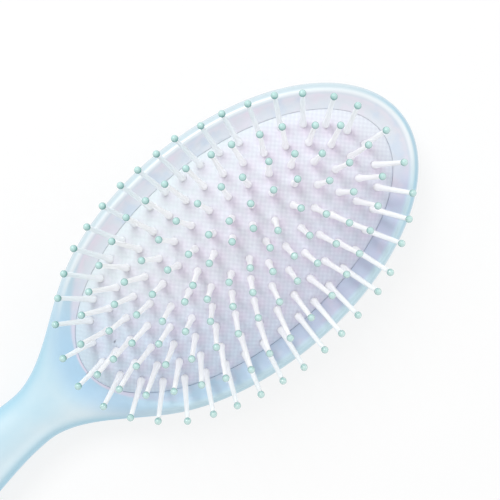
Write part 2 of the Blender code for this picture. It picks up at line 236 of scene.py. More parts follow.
# %% Colours
def srgb(red, green, blue):
    """A colour as a paint program writes it, 0 to 255, in the linear values that shaders use."""
    shares = [channel / 255 for channel in (red, green, blue)]
    return tuple(c / 12.92 if c <= 0.04045 else ((c + 0.055) / 1.055) ** 2.4 for c in shares)


# %% [markdown]
# ## Turning an edit mesh into a piece
#
# Every piece below starts as a `bmesh`, Blender's edit mesh, and ends as an object that sits at the
# origin with its place in its mesh. Smooth shading hides the facets, and an angle limit keeps the
# few real edges crisp.

# %% Pieces
CREASE_DEGREES = 40


def piece_from(bm, name, finish):
    mesh = bpy.data.meshes.new(name)
    bm.to_mesh(mesh)
    bm.free()
    mesh.materials.append(finish.material)
    mesh.shade_smooth()
    mesh.set_sharp_from_angle(angle=math.radians(CREASE_DEGREES))
    thing = bpy.data.objects.new(name, mesh)
    bpy.context.scene.collection.objects.link(thing)
    print(name, len(mesh.vertices), "points,", len(mesh.polygons), "faces")
    return thing


def extruded(bm, edges):
    """Extrude a run of edges, and return the new points and the new run."""
    made = bmesh.ops.extrude_edge_only(bm, edges=edges)["geom"]
    verts = [item for item in made if isinstance(item, bmesh.types.BMVert)]
    fresh = set(verts)
    edges = [item for item in made if isinstance(item, bmesh.types.BMEdge)]
    return verts, [edge for edge in edges if fresh.issuperset(edge.verts)]


# %% [markdown]
# ## The outline of the body
#
# The body is one smooth moulding. The handle runs back from the head through a waist, the neck, to
# a fuller grip and a rounded end. Its widths and heights are given at those places and ease from
# one to the next.

# %% Sizes along the brush
NECK_JOIN_DISTANCE = 0.0400
NECK_DISTANCE = 0.0740
GRIP_DISTANCE = 0.1200
HANDLE_END_DISTANCE = 0.1780
HEAD_ROUND_FADE = 0.0180


def ease(start, end, share):
    share = min(max(share, 0.0), 1.0)
    return start + (end - start) * share * share * (3 - 2 * share)


def along_brush(x, end, grip, neck, head):
    """A size that changes smoothly from the handle's end to the grip, the neck and the head."""
    if x < -GRIP_DISTANCE:
        return ease(end, grip, (x + HANDLE_END_DISTANCE) / (HANDLE_END_DISTANCE - GRIP_DISTANCE))
    if x < -NECK_DISTANCE:
        return ease(grip, neck, (x + GRIP_DISTANCE) / (GRIP_DISTANCE - NECK_DISTANCE))
    to_head = NECK_DISTANCE - NECK_JOIN_DISTANCE + HEAD_ROUND_FADE
    return ease(neck, head, (x + NECK_DISTANCE) / to_head)


print("the handle ends", round(HANDLE_END_DISTANCE * MILLIMETRES), "mm from the middle of the head")

# %% [markdown]
# Seen from above, the outline is half an ellipse for the head that flows into the neck without a
# corner. Sections stand square to that outline all the way round: each one starts from its foot on
# the middle line, or from the seam where the cushion takes the middle, runs out over the rim, turns
# down past the widest line and comes back under.

# %% Outline
NECK_HALF_WIDTH = 0.0079
GRIP_HALF_WIDTH = 0.0135
HANDLE_END_HALF_WIDTH = 0.0115
HANDLE_END_ROUND = 0.0170


def head_half_width(x):
    return HEAD_HALF_WIDTH * math.sqrt(max(0.0, 1 - (x / HEAD_HALF_LENGTH) ** 2))


def neck_half_width(x):
    reach = NECK_DISTANCE - NECK_JOIN_DISTANCE
    t = (x + NECK_DISTANCE) / reach
    join = head_half_width(-NECK_JOIN_DISTANCE)
    slope = (HEAD_HALF_WIDTH / HEAD_HALF_LENGTH) ** 2 * NECK_JOIN_DISTANCE / join
    rise = t * t * (3 - 2 * t)
    return NECK_HALF_WIDTH * (1 - rise) + join * rise + slope * reach * (t ** 3 - t ** 2)


def half_width(x):
    if x > -NECK_JOIN_DISTANCE:
        return head_half_width(x)
    if x > -NECK_DISTANCE:
        return neck_half_width(x)
    width = along_brush(x, HANDLE_END_HALF_WIDTH, GRIP_HALF_WIDTH, NECK_HALF_WIDTH, NECK_HALF_WIDTH)
    past_round = max(0.0, HANDLE_END_ROUND - HANDLE_END_DISTANCE - x)
    return width * math.sqrt(max(0.0, 1 - (past_round / HANDLE_END_ROUND) ** 2))


print("the neck is", round(2 * half_width(-NECK_DISTANCE) * MILLIMETRES, 1), "mm wide")

# %% [markdown]
# The outline is sampled finely and then walked in even steps, in which a turn counts as length too,
# so the places stand closer together round the ends. The foot of each section is where its square
# line meets the middle of the brush. The feet are kept in order, so that no two sections cross.

# %% Places round the outline
OUTLINE_STEPS = 300
OUTLINE_TURN_WEIGHT = 0.012
CURVE_SAMPLES = 6001

middle_x = (HEAD_HALF_LENGTH - HANDLE_END_DISTANCE) / 2
reach_x = (HEAD_HALF_LENGTH + HANDLE_END_DISTANCE) / 2
curve_x = middle_x + reach_x * np.cos(np.linspace(0.0, math.pi, CURVE_SAMPLES))
curve = np.stack([curve_x, [half_width(x) for x in curve_x]], axis=1)
slope = np.gradient(curve, axis=0)
feet = curve[:, 0] + curve[:, 1] * slope[:, 1] / slope[:, 0]
feet = np.maximum.accumulate(feet[::-1])[::-1]
steps = np.hypot(*np.diff(curve, axis=0).T)
headings = np.unwrap(np.arctan2(np.diff(curve[:, 1]), np.diff(curve[:, 0])))
turns = np.abs(np.diff(headings, prepend=headings[0]))
travelled = np.concatenate([[0.0], np.cumsum(steps + OUTLINE_TURN_WEIGHT * turns)])
wanted = np.linspace(0.0, travelled[-1], OUTLINE_STEPS + 1)
outline_x, outline_y, outline_foot = [np.interp(wanted, travelled, row) for row in (*curve.T, feet)]
outline_foot[0], outline_foot[-1] = outline_foot[1], outline_foot[-2]
outline_y[0] = outline_y[-1] = 0.0
print("outline", OUTLINE_STEPS + 1, "places round one side")

# %% [markdown]
# ## The surface of the body
#
# Two surfaces make the top: the rounded back of the moulding, and the dish that falls from the
# crest of the rim to the seam. Where they cross, a smooth minimum joins them, so the crest is a
# soft roll and not a knife edge. The roll is small along the sides and wide towards the neck, where
# the rim melts into the handle.

# %% Body surfaces
CREST_HEIGHT = 0.0145
DISH_MIDDLE_HEIGHT = 0.0132
OFFSET_ROUNDS = 8
INNERMOST_SHARE = 0.9
CREST_ROLL = 0.0009
NECK_ROLL = 0.0045
NECK_ROLL_START = -0.030
NECK_ROLL_END = -0.060


def oval_offset(x, y, half_length, half_width):
    """How far points lie outside an oval, as the growth of its two half sizes that reaches them."""
    offset = np.zeros_like(x)
    for _ in range(OFFSET_ROUNDS):
        length, width = half_length + offset, half_width + offset
        error = (x / length) ** 2 + (y / width) ** 2 - 1
        change = -2 * x ** 2 / length ** 3 - 2 * y ** 2 / width ** 3
        offset = np.maximum(offset - error / change, -half_width * INNERMOST_SHARE)
    return offset


def seam_offset(x, y):
    return oval_offset(x, y, PAD_HALF_LENGTH, PAD_HALF_WIDTH)


def dish_height(offset):
    """A parabola through the seam, the middle of the dish and the crest, carried on outwards."""
    half_way = RIM_DISH_WIDTH / 2
    first, second = DISH_MIDDLE_HEIGHT - SEAM_HEIGHT, CREST_HEIGHT - SEAM_HEIGHT
    bend = (second - 2 * first) / (2 * half_way ** 2)
    rise = first / half_way - bend * half_way
    return SEAM_HEIGHT + rise * offset + bend * offset ** 2


def smooth_min(first, second, roll):
    near = np.maximum(roll - np.abs(first - second), 0) / roll
    return np.minimum(first, second) - near ** 2 * roll / 4


def crest_roll(foot):
    share = ease(0.0, 1.0, (NECK_ROLL_START - foot) / (NECK_ROLL_START - NECK_ROLL_END))
    return CREST_ROLL + (NECK_ROLL - CREST_ROLL) * share


print("the dish rises", round((CREST_HEIGHT - SEAM_HEIGHT) * MILLIMETRES, 1), "mm to the crest")

# %% [markdown]
# Every section has the same number of levels, so that they can be joined into one surface. On the
# head the levels stand close together where the rim turns over, and spread out down the dish. On
# the handle they are spread as on a half circle. In between, the two ways are mixed.

# %% Levels of a section
TOP_LEVELS = 44
ROUND_LEVELS = 14
BACK_LEVELS = 18
CROSSING_SAMPLES = 400
ROUND_ROOM = 0.9
DISH_SPREAD = 1.25


def seam_share(x, y, foot):
    """How far in from the outline a section meets the seam, as a share of its run, or else 1."""
    inward = np.linspace(0.0, 1.0, CROSSING_SAMPLES)
    offset = seam_offset(x + (foot - x) * inward, y * (1 - inward))
    return float(np.interp(0.0, -offset, inward)) if offset.min() < 0 else 1.0


def top_shares(crossing, rounding, handle_like):
    """The places of the levels of the top, as shares of the run in from the outline."""
    round_edge = 1 - np.cos(np.linspace(0, math.pi / 2, ROUND_LEVELS))
    near_edge = np.minimum(rounding, crossing * ROUND_ROOM) * round_edge
    spread = np.linspace(0, 1, TOP_LEVELS - ROUND_LEVELS + 1)[1:] ** DISH_SPREAD
    head = np.concatenate([near_edge, near_edge[-1] + (crossing - near_edge[-1]) * spread])
    handle = crossing * (1 - np.cos(np.linspace(0, math.pi / 2, TOP_LEVELS)))
    return head * (1 - handle_like) + handle * handle_like


print("levels in a section:", TOP_LEVELS + BACK_LEVELS - 1)

# %% [markdown]
# Below its widest line the body is a full, rounded back, which the photograph hides. It ends in a
# small flat land that the brush rests on, and a short roll softens the edge of that land.

# %% Underside
NECK_UNDERSIDE_HEIGHT = 0.0016
GRIP_FLAT_DEPTH = 0.0002
HANDLE_END_UNDERSIDE_HEIGHT = 0.0016
BACK_FLAT_DEPTH = 0.0006
BACK_FULLNESS = 2.3
LAND_ROLL = 0.00015


def underside(x, y, foot, widest):
    """The rows of a section below its widest line, down to its foot."""
    back = along_brush(
        foot, HANDLE_END_UNDERSIDE_HEIGHT, -GRIP_FLAT_DEPTH, NECK_UNDERSIDE_HEIGHT, -BACK_FLAT_DEPTH
    )
    angles = np.linspace(0, math.pi / 2, BACK_LEVELS)[1:]
    shares = 1 - np.cos(angles) ** (2 / BACK_FULLNESS)
    shares[-1] = 1.0
    height = widest - (widest - back) * np.sin(angles) ** (2 / BACK_FULLNESS)
    height = -smooth_min(-height, np.zeros_like(height), LAND_ROLL)
    return np.stack([x + (foot - x) * shares, y * (1 - shares), height], axis=1)


print("levels of the underside:", BACK_LEVELS - 1)

# %% [markdown]
# A section joins the two surfaces of the top to the underside. It is worked out for one side of the
# brush, and the other side is its mirror image.

# %% Sections
NECK_TOP_HEIGHT = 0.0138
GRIP_TOP_HEIGHT = 0.0160
HANDLE_END_TOP_HEIGHT = 0.0135
HEAD_WIDEST_HEIGHT = 0.0095


def section(k):
    """One section as rows of (x, y, z), from the seam or the middle line to its foot below."""
    x, y, foot = outline_x[k], outline_y[k], outline_foot[k]
    run = math.hypot(x - foot, y)
    top = along_brush(foot, HANDLE_END_TOP_HEIGHT, GRIP_TOP_HEIGHT, NECK_TOP_HEIGHT, CREST_HEIGHT)
    end_widest = (HANDLE_END_TOP_HEIGHT + HANDLE_END_UNDERSIDE_HEIGHT) / 2
    neck_widest = (NECK_TOP_HEIGHT + NECK_UNDERSIDE_HEIGHT) / 2
    widest = along_brush(foot, end_widest, GRIP_TOP_HEIGHT / 2, neck_widest, HEAD_WIDEST_HEIGHT)
    rounding = along_brush(foot, run, run, run, min(RIM_ROUND, run)) / run
    handle_like = along_brush(foot, 1.0, 1.0, 1.0, 0.0)
    shares = top_shares(seam_share(x, y, foot), rounding, handle_like)
    px, py = x + (foot - x) * shares, y * (1 - shares)
    outer = widest + (top - widest) * np.sqrt(1 - (1 - np.minimum(shares / rounding, 1)) ** 2)
    height = smooth_min(outer, dish_height(seam_offset(px, py)), crest_roll(foot))
    height = np.maximum(height, np.minimum(outer, SEAM_HEIGHT))
    over = np.stack([px, py, height], axis=1)[::-1]
    return np.concatenate([over, underside(x, y, foot, widest)])


near_side = np.array([section(k) for k in range(OUTLINE_STEPS + 1)])
far_side = near_side[-2:0:-1] * np.array([1.0, -1.0, 1.0])
sections = np.concatenate([near_side, far_side])
print("sections", sections.shape)

# %% [markdown]
# The mesh is drawn as one closed run of edges on the innermost level, extruded level by level. Each
# point carries the number of its section, which an extrusion hands on to the copy, so every level
# can be laid on its own row of the sections. On the handle the two sides meet on the middle line
# and are merged there.

# %% Body mesh
BODY_MERGE = 0.00002

pearl = Finish("pearl_moulding")
bm = bmesh.new()
number = bm.verts.layers.int.new("section")
turn = bm.verts.layers.float.new("turn")
rim_offset = bm.verts.layers.float.new("rim_offset")
verts = bmesh.ops.create_circle(bm, segments=len(sections), radius=1.0)["verts"]
for place, vert in enumerate(verts):
    vert[number] = place
run = list(bm.edges)
for level in range(sections.shape[1]):
    if level > 0:
        verts, run = extruded(bm, run)
    for vert in verts:
        vert.co = sections[vert[number], level]
bmesh.ops.remove_doubles(bm, verts=bm.verts, dist=BODY_MERGE)
bmesh.ops.dissolve_degenerate(bm, edges=bm.edges, dist=BODY_MERGE)
print("outside of the body", len(bm.verts), "points")

# %% [markdown]
# What stays open is the seam. On the real brush the cushion snaps in there, under a lip. So the
# edge of the seam is extruded down from oval to oval, to make the lip, the groove that holds the
# cushion, its ledge and the air chamber.

# %% Ovals round the cushion
LIP_THICKNESS = 0.0013
GROOVE_DEPTH = 0.0018
GROOVE_HEIGHT = 0.0024
LEDGE_WIDTH = 0.0010
CHAMBER_FLOOR_HEIGHT = 0.0032
CHAMBER_CORNER = 0.0012
lip_underside = SEAM_HEIGHT - LIP_THICKNESS
ledge_height = lip_underside - GROOVE_HEIGHT


def oval_point(turn, offset, height):
    """A point that lies this far outside the seam, at a turn round it."""
    x = (PAD_HALF_LENGTH + offset) * math.cos(turn)
    y = (PAD_HALF_WIDTH + offset) * math.sin(turn)
    return x, y, height


def oval_wall(bm, run, levels):
    """Extrude a run of edges through ovals round the cushion, each given as (offset, height)."""
    turn = bm.verts.layers.float["turn"]
    for offset, height in levels:
        verts, run = extruded(bm, run)
        for vert in verts:
            vert.co = oval_point(vert[turn], offset, height)
    return run


print("the ledge stands at", round(ledge_height * MILLIMETRES, 1), "mm")

# %% Recess for the cushion
seam_run = [edge for edge in bm.edges if edge.is_boundary]
for vert in {vert for edge in seam_run for vert in edge.verts}:
    vert[turn] = math.atan2(vert.co.y / PAD_HALF_WIDTH, vert.co.x / PAD_HALF_LENGTH)
floor_run = oval_wall(bm, seam_run, (
    (0.0, lip_underside),
    (GROOVE_DEPTH, lip_underside),
    (GROOVE_DEPTH, ledge_height),
    (-LEDGE_WIDTH, ledge_height),
    (-LEDGE_WIDTH, CHAMBER_FLOOR_HEIGHT + CHAMBER_CORNER),
    (-LEDGE_WIDTH - CHAMBER_CORNER, CHAMBER_FLOOR_HEIGHT),
))
bmesh.ops.holes_fill(bm, edges=floor_run)
bmesh.ops.recalc_face_normals(bm, faces=bm.faces)
points = np.array([vert.co for vert in bm.verts])
offsets = seam_offset(points[:, 0], points[:, 1])
for vert, offset in zip(bm.verts, offsets):
    vert[rim_offset] = offset * MILLIMETRES
print("seam", len(seam_run), "edges round")
body = piece_from(bm, "moulded_body", pearl)
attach(body, "handle_and_head")
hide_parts("brush_body")

# %% [markdown]
# ## The places of the pins
#
# The pins stand in five ovals, evenly spaced round each, with two more alone on the long axis. Each
# pin is about square to the cushion under it, so the outer ones lean out like a fan. No two stand
# quite alike, though, because each is held in soft rubber. The table says how far each tip lies
# from its even place, along and across the brush, in tenths of a millimetre.

# %% Pin leans
LEAN_UNIT = 0.0001
TIP_LEANS = {
    "outer_ring": (
        (4, 1), (6, -1), (8, 10), (6, 4), (1, 1), (1, 3), (0, -1), (1, -3), (5, -4), (-1, -9),
        (-4, -8), (-9, -1), (-3, -10), (-7, -3), (-4, -2), (0, 4), (0, 4), (4, 1), (-3, 14),
        (-3, 3), (-3, -6), (6, -14), (8, -6), (12, -1), (5, -12), (12, -6), (-2, -2), (0, -2),
        (5, -2), (0, -4), (1, -1), (-1, -4), (-3, -4), (-2, -5), (-5, -8), (-4, 2), (-1, 2), (4, 1),
    ),
    "second_ring": (
        (4, -6), (1, 3), (3, 1), (-1, -6), (0, 0), (0, 6), (1, 17), (1, 9), (-1, 7), (-1, 5),
        (4, -2), (-6, -2), (-1, -8), (-8, 0), (-1, -9), (0, 8), (1, 4), (0, -1), (-7, 7), (-3, 12),
        (2, 13), (8, 13), (11, 8), (1, 6), (-7, 1), (-7, 1), (-5, -11), (-3, 2), (3, 9), (0, 12),
        (-4, 9), (1, 7),
    ),
    "third_ring": (
        (2, -1), (8, -7), (3, -3), (-5, 1), (-2, 0), (-1, 4), (-3, 8), (0, 7), (6, 5), (-4, -2),
        (5, 1), (2, -2), (-5, -6), (-1, 1), (-5, 7), (-2, -7), (4, -3), (3, 4), (2, 10), (0, 2),
        (-1, 5), (0, 2), (1, 2), (-1, 4), (3, 11), (2, 16),
    ),
    "fourth_ring": (
        (-5, 1), (2, -2), (0, -8), (2, 4), (1, -4), (5, 0), (0, -5), (2, -1), (0, -1), (-4, 2),
        (5, -1), (-4, -9), (-3, -3), (2, -8), (3, 1), (-3, -6), (2, -3), (1, -1), (3, 9), (-3, 7),
    ),
    "middle_ring": (
        (5, -3), (-9, -14), (-7, -5), (6, 0), (3, -1), (-10, -14), (4, -5), (-1, -5), (0, 1),
        (-4, -4), (-2, -5), (1, -8),
    ),
}
print("leans of", sum(len(leans) for leans in TIP_LEANS.values()), "tips")

# %% [markdown]
# The pins stand on the crown of the cushion, which swells from the seam to a broad top. One formula
# gives its height, and the slopes of that formula give the direction that is square to it.

# %% Crown of the cushion
CROWN_HEIGHT = 0.0063
CROWN_FULLNESS = 3.3


def crown_height(x, y):
    reach = np.hypot(x / PAD_HALF_LENGTH, y / PAD_HALF_WIDTH)
    return SEAM_HEIGHT + CROWN_HEIGHT * (1 - np.minimum(reach, 1.0) ** CROWN_FULLNESS)


def crown_normals(x, y):
    """Unit vectors square to the crown, one row for each place."""
    reach = np.hypot(x / PAD_HALF_LENGTH, y / PAD_HALF_WIDTH)
    fall = CROWN_HEIGHT * CROWN_FULLNESS * reach ** (CROWN_FULLNESS - 2)
    slopes = fall * x / PAD_HALF_LENGTH ** 2, fall * y / PAD_HALF_WIDTH ** 2
    rows = np.stack([*slopes, np.ones_like(reach)], axis=-1)
    return rows / np.linalg.norm(rows, axis=-1, keepdims=True)


print("the crown stands", round(CROWN_HEIGHT * MILLIMETRES, 1), "mm over the seam")

# %% [markdown]
# The feet are found by walking round each oval and stopping at even steps. A pin's placement is a
# matrix: its first three columns are the pin's own axes, and the last is its foot on the cushion.

# %% Pin places
PIN_LENGTH = 0.0186
PIN_BALL_RADIUS = 0.00096
RING_NAMES = ("outer_ring", "second_ring", "third_ring", "fourth_ring", "middle_ring")
RING_PIN_COUNTS = (38, 32, 26, 20, 10)
RING_LENGTH_SHARES = (0.880, 0.783, 0.683, 0.565, 0.286)
RING_WIDTH_SHARES = (0.895, 0.702, 0.487, 0.294, 0.135)
LONE_PIN_SHARE = 0.406
OVAL_SAMPLES = 1441


def pin_frame(x, y, lean):
    """A pin's placement: its foot on the cushion, and its axis, square to it but for its lean."""
    upright = Vector(crown_normals(x, y)) * (PIN_LENGTH - PIN_BALL_RADIUS)
    axis = (upright + Vector((*lean, 0)) * LEAN_UNIT).normalized()
    across = axis.cross(Vector((1, 0, 0))).normalized()
    axes = Matrix((across.cross(axis), across, axis)).transposed().to_4x4()
    return Matrix.Translation((x, y, float(crown_height(x, y)))) @ axes


def ring_places(ring):
    """Evenly spaced places round the oval of a ring, from its handle end on."""
    length = PAD_HALF_LENGTH * RING_LENGTH_SHARES[ring]
    width = PAD_HALF_WIDTH * RING_WIDTH_SHARES[ring]
    angles = np.linspace(0.0, 2 * math.pi, OVAL_SAMPLES)
    oval = np.stack([-length * np.cos(angles), width * np.sin(angles)], axis=1)
    travelled = np.concatenate([[0.0], np.cumsum(np.hypot(*np.diff(oval, axis=0).T))])
    wanted = np.linspace(0.0, travelled[-1], RING_PIN_COUNTS[ring] + 1)[:-1]
    return list(zip(*[np.interp(wanted, travelled, row) for row in oval.T]))


lone = LONE_PIN_SHARE * PAD_HALF_LENGTH
pin_groups = {}
for ring, name in enumerate(RING_NAMES):
    places = ring_places(ring)
    if name == "middle_ring":
        places += [(-lone, 0.0), (lone, 0.0)]
    leaning = zip(places, TIP_LEANS[name], strict=True)
    pin_groups[name] = [pin_frame(*place, lean) for place, lean in leaning]
all_pins = [pin for group in pin_groups.values() for pin in group]
print(len(all_pins), "pins")

# %% [markdown]
# ## The cushion
#
# The cushion is a thin rubber dome faced with a fine weave, and the air behind it makes it springy.
# A cloth simulation would give it wrinkles that moulded rubber doesn't have, so its form is given
# here. Its edge is a flange that sits in the groove and a skirt that rises inside the lip. They
# stay as they are when the cushion is pressed, so they are a piece of their own. The skirt leans in
# a little towards its foot, which is what swings out most when the cushion rocks about the height
# of the seam.

# %% Cushion edge
PAD_SEGMENTS = 480
PAD_SKIN = 0.0003
SEAM_GAP = 0.00005
SKIRT_GAP = 0.00009
FLANGE_OFFSET = 0.0013
SKIRT_FOOT = 0.01012
EDGE_HEIGHT = 0.0123

cushion_face = Finish("cushion_face")


def oval_sheet(offset, height):
    """An edit mesh that holds one oval of edges, with what later extrusions need."""
    bm = bmesh.new()
    turn = bm.verts.layers.float.new("turn")
    verts = bmesh.ops.create_circle(bm, segments=PAD_SEGMENTS, radius=1.0)["verts"]
    for place, vert in enumerate(verts):
        vert[turn] = 2 * math.pi * place / PAD_SEGMENTS
        vert.co = oval_point(vert[turn], offset, height)
    return bm


def rubber(bm, name):
    """A sheet with its face up, made into a piece of the cushion with the thickness of its skin."""
    bmesh.ops.recalc_face_normals(bm, faces=bm.faces)
    if sum(face.normal.z for face in bm.faces) < 0:
        bmesh.ops.reverse_faces(bm, faces=bm.faces)
    thing = piece_from(bm, name, cushion_face)
    skin = thing.modifiers.new("skin", "SOLIDIFY")
    skin.thickness = PAD_SKIN
    skin.offset = -1.0
    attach(thing, "cushion")
    return thing


bm = oval_sheet(FLANGE_OFFSET, SKIRT_FOOT)
oval_wall(bm, list(bm.edges), ((-SKIRT_GAP, SKIRT_FOOT), (-SEAM_GAP, EDGE_HEIGHT)))
rubber(bm, "cushion_flange")

# %% [markdown]
# The dome starts from the top of the skirt and runs in, in small even steps, until its two sides
# meet on the middle line. It is flat for now, because the holes are easier to cut in a flat sheet.

# %% Cushion sheet
PAD_STEP = 0.0005
PAD_MERGE = 0.000001
EDGE_ROLL = 0.0007
EDGE_ROLL_STEPS = 6

bm = oval_sheet(-SEAM_GAP, EDGE_HEIGHT)
root_tint_and_shadow = bm.verts.layers.float.new("root_tint_and_shadow")
skirt_top = list(bm.verts)
run = list(bm.edges)
roll_insets = EDGE_ROLL * (1 - np.cos(np.linspace(0, math.pi / 2, EDGE_ROLL_STEPS)[1:]))
dome_steps = round((PAD_HALF_WIDTH - SEAM_GAP - EDGE_ROLL) / PAD_STEP)
dome_insets = np.linspace(EDGE_ROLL, PAD_HALF_WIDTH - SEAM_GAP, dome_steps)[1:]
oval_wall(bm, run, [(-SEAM_GAP - inset, EDGE_HEIGHT) for inset in (*roll_insets, *dome_insets)])
bmesh.ops.remove_doubles(bm, verts=bm.verts, dist=PAD_MERGE)
skirt_top = {vert for vert in skirt_top if vert.is_valid}
print("cushion sheet", len(bm.verts), "points")

# %% [markdown]
# Each pin comes up through a round hole that hugs its root. The faces over a hole are deleted,
# which leaves a ragged edge, and the points on that edge are then drawn onto the true circle.

# %% Holes in the cushion
HOLE_RADIUS = 0.00103
HOLE_MARGIN = 0.0001

pin_feet = np.array([pin.translation for pin in all_pins])
pin_axes = np.array([pin.to_3x3().col[2] for pin in all_pins])


def axis_distances(points):
    """Distances of points from the axes of all the pins, one row for each point."""
    gap = points[:, None, :] - pin_feet[None, :, :]
    along = (gap * pin_axes[None]).sum(axis=2, keepdims=True)
    return np.linalg.norm(gap - along * pin_axes[None], axis=2)


def crown_points(verts):
    flat = np.array([vert.co.xy for vert in verts])
    return np.column_stack([flat, crown_height(*flat.T)])


def edge_points(bm):
    """Points on the open edges of the sheet, its outer edge left out."""
    open_edges = [edge for edge in bm.edges if edge.is_boundary]
    return list({vert for edge in open_edges for vert in edge.verts} - skirt_top)


dome = [vert for vert in bm.verts if vert not in skirt_top]
nearest = axis_distances(crown_points(dome)).min(axis=1)
covered = {vert for vert, away in zip(dome, nearest) if away < HOLE_RADIUS - HOLE_MARGIN}
over_holes = [face for face in bm.faces if not covered.isdisjoint(face.verts)]
bmesh.ops.delete(bm, geom=over_holes, context="FACES")
lips = edge_points(bm)
for vert, distances in zip(lips, axis_distances(crown_points(lips))):
    foot = Vector(pin_feet[distances.argmin()][:2])
    vert.co.xy = foot + (vert.co.xy - foot) * (HOLE_RADIUS / distances.min())
print("holes edged by", len(lips), "points")

# %% [markdown]
# Near the handle a small slit lets the air out when the cushion is pressed. The faces round one
# point are deleted for it, and the edge that they leave is drawn onto a narrow, turned ellipse.

# %% Vent in the cushion
VENT_X = -0.0392
VENT_Y = 0.0022
VENT_HALF_LENGTH = 0.00045
VENT_HALF_WIDTH = 0.00016
VENT_TURN_DEGREES = 50

vent = Vector((VENT_X, VENT_Y))
along_vent = Matrix.Rotation(math.radians(VENT_TURN_DEGREES), 2)
hub = min(bm.verts, key=lambda vert: (vert.co.xy - vent).length)
slit = {vert for face in hub.link_faces for vert in face.verts} - {hub}
bmesh.ops.delete(bm, geom=list(hub.link_faces), context="FACES")
for vert in slit:
    away = along_vent.inverted() @ (vert.co.xy - vent)
    angle = math.atan2(away.y, away.x)
    edge = Vector((VENT_HALF_LENGTH * math.cos(angle), VENT_HALF_WIDTH * math.sin(angle)))
    vert.co.xy = vent + along_vent @ edge
print("the vent is edged by", len(slit), "points")

# %% [markdown]
# The flat sheet is now lifted to the crown. The heads of the pins push the rubber up from behind,
# so it stands a little proud along each ring and more round each pin, with shallow valleys between
# the rings. At the seam it rolls down into the skirt. The points also carry a pink tint for the
# finish round each root, shifted to the low side of the root, where it is a painted shadow.

# %% Cushion form
RIDGE_HEIGHT = 0.00028
RIDGE_REACH = 0.0014
MOUND_HEIGHT = 0.00048
MOUND_REACH = 0.0018
COLLAR_HEIGHT = 0.00030
COLLAR_REACH = 0.0006
TINT_REACH = 0.0026
TINT_SHADOW_SHIFT = 0.0013

dome = [vert for vert in bm.verts if vert not in skirt_top]
points = crown_points(dome)
distances = axis_distances(points)
past_hole = distances.min(axis=1) - HOLE_RADIUS
lumps = MOUND_HEIGHT * np.exp(-(distances / MOUND_REACH) ** 2).sum(axis=1)
lumps += COLLAR_HEIGHT * np.exp(-(past_hole / COLLAR_REACH) ** 2)
for length_share, width_share in zip(RING_LENGTH_SHARES, RING_WIDTH_SHARES):
    away = oval_offset(*points.T[:2], PAD_HALF_LENGTH * length_share, PAD_HALF_WIDTH * width_share)
    lumps += RIDGE_HEIGHT * np.exp(-(away / RIDGE_REACH) ** 2)
inset = -seam_offset(*points.T[:2]) - SEAM_GAP
roll_share = np.sqrt(1 - (1 - np.clip(inset / EDGE_ROLL, 0, 1)) ** 2)
points[:, 2] = EDGE_HEIGHT + (points[:, 2] - EDGE_HEIGHT) * roll_share
points += crown_normals(*points.T[:2]) * (lumps * roll_share)[:, None]
# the pink tint is shifted to the low side of each root: a painted shadow
from_tint = axis_distances(points + np.array([0.0, TINT_SHADOW_SHIFT, 0.0])).min(axis=1)
tints = np.exp(-(from_tint / TINT_REACH) ** 2)
for vert, point, tint in zip(dome, points, tints):
    vert.co = point
    vert[root_tint_and_shadow] = tint
cushion = rubber(bm, "cushion_dome")
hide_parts("cushion_pad")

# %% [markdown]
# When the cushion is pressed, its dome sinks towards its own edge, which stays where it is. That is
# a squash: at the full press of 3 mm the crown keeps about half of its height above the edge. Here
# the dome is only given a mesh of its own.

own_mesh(cushion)

# %% [markdown]
# ## The pins
#
# A pin is turned once, by spinning half of its profile about its axis, and then copied to each
# place. The head behind the cushion holds it, the root is stout where it leaves the cushion, and
# the shaft narrows to the ball. The ball is a piece of its own, because it has a colour of its own.
# With well over a hundred pins, each has only as many faces as the picture needs.

# %% Pins
PIN_SIDES = 12
PIN_HEAD_DEPTH = 0.0010
PIN_HEAD_RADIUS = 0.0015
PIN_PROFILE = (
    (0.0, -PIN_HEAD_DEPTH), (PIN_HEAD_RADIUS, -PIN_HEAD_DEPTH), (PIN_HEAD_RADIUS, -0.0005),
    (0.00105, -0.00045), (0.00107, 0.0009), (0.00103, 0.0017), (0.00088, 0.0028), (0.00077, 0.0044),
    (0.00069, 0.0090), (0.00060, 0.0168), (0.0, 0.0172),
)
BALL_SEGMENTS = 12
BALL_RINGS = 8
PIN_MERGE = 0.000001

pin_white = Finish("pin_white")
tip_mint = Finish("tip_mint")


def pin_mesh():
    bm = bmesh.new()
    verts = [bm.verts.new((radius, 0, height)) for radius, height in PIN_PROFILE]
    edges = [bm.edges.new(pair) for pair in zip(verts, verts[1:])]
    bmesh.ops.spin(
        bm, geom=verts + edges, cent=(0, 0, 0), axis=(0, 0, 1), angle=2 * math.pi,
        steps=PIN_SIDES, use_merge=True,
    )
    bmesh.ops.remove_doubles(bm, verts=bm.verts, dist=PIN_MERGE)
    bmesh.ops.recalc_face_normals(bm, faces=bm.faces)
    return bm


def ball_mesh():
    bm = bmesh.new()
    crown = bm.verts.layers.float.new("ball_crown")
    bmesh.ops.create_uvsphere(
        bm, u_segments=BALL_SEGMENTS, v_segments=BALL_RINGS, radius=PIN_BALL_RADIUS
    )
    for vert in bm.verts:
        vert[crown] = vert.co.z / PIN_BALL_RADIUS
    bmesh.ops.translate(bm, vec=(0, 0, PIN_LENGTH - PIN_BALL_RADIUS), verts=bm.verts)
    return bm


# %% [markdown]
# All the pins of one ring are one piece, and so are their tips, because a ring of pins moves as one
# when the cushion is pressed. The lone pins move with the innermost ring.

# %% Pins in their places
def copies(shape, places):
    """One mesh with a copy of shape at each place."""
    master = bpy.data.meshes.new("master")
    shape.to_mesh(master)
    shape.free()
    bm = bmesh.new()
    for place in places:
        known = len(bm.verts)
        bm.from_mesh(master)
        bm.verts.ensure_lookup_table()
        bmesh.ops.transform(bm, matrix=place, verts=bm.verts[known:])
    bpy.data.meshes.remove(master)
    return bm


